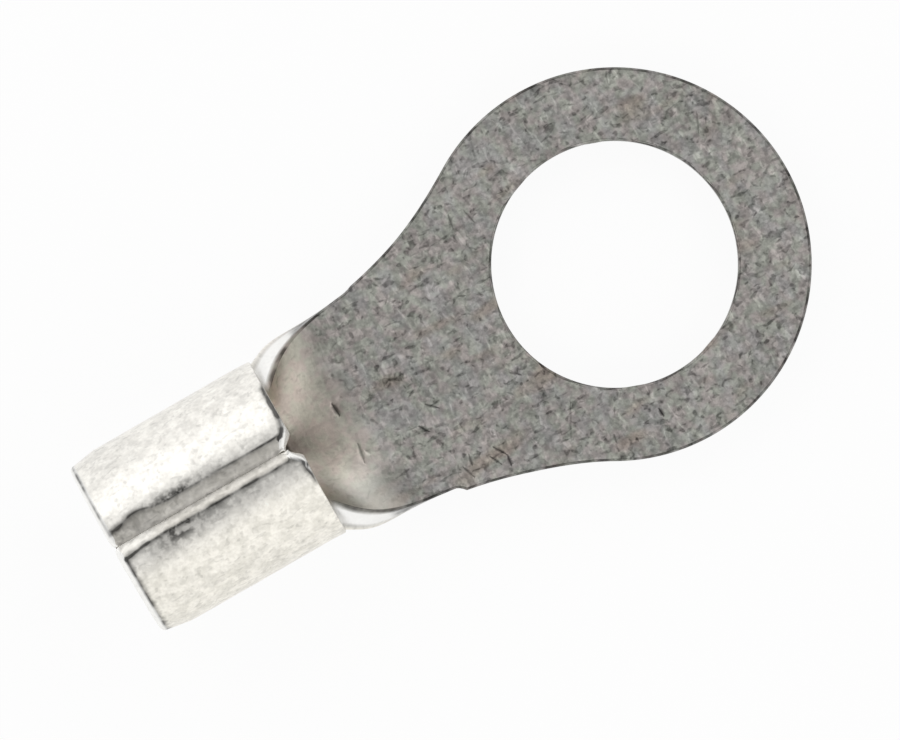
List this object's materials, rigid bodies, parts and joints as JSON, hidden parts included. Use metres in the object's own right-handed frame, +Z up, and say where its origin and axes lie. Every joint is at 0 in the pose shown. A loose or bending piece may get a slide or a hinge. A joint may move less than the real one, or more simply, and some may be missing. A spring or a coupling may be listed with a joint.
{
  "type": "ring terminal",
  "caption": "Uninsulated tinned copper ring terminal: a flat ring for a stud, a short throat and a wire barrel rolled from the same sheet, butted along its top under a shallow groove.",
  "frame": {"origin": "centre of the stud hole on the underside of the ring", "axes": "+X runs from the wire entry to the ring's tip, +Z up along the stud, towards the barrel's seam"},
  "size_m": [0.0165, 0.0084, 0.0042],
  "materials": {
    "tinned_copper": "matt electroplated tin over copper, brighter and slightly mottled where the sheet was rolled"
  },
  "bodies": {
    "root": {"ring_terminal": "tinned_copper"}
  },
  "joints": []
}
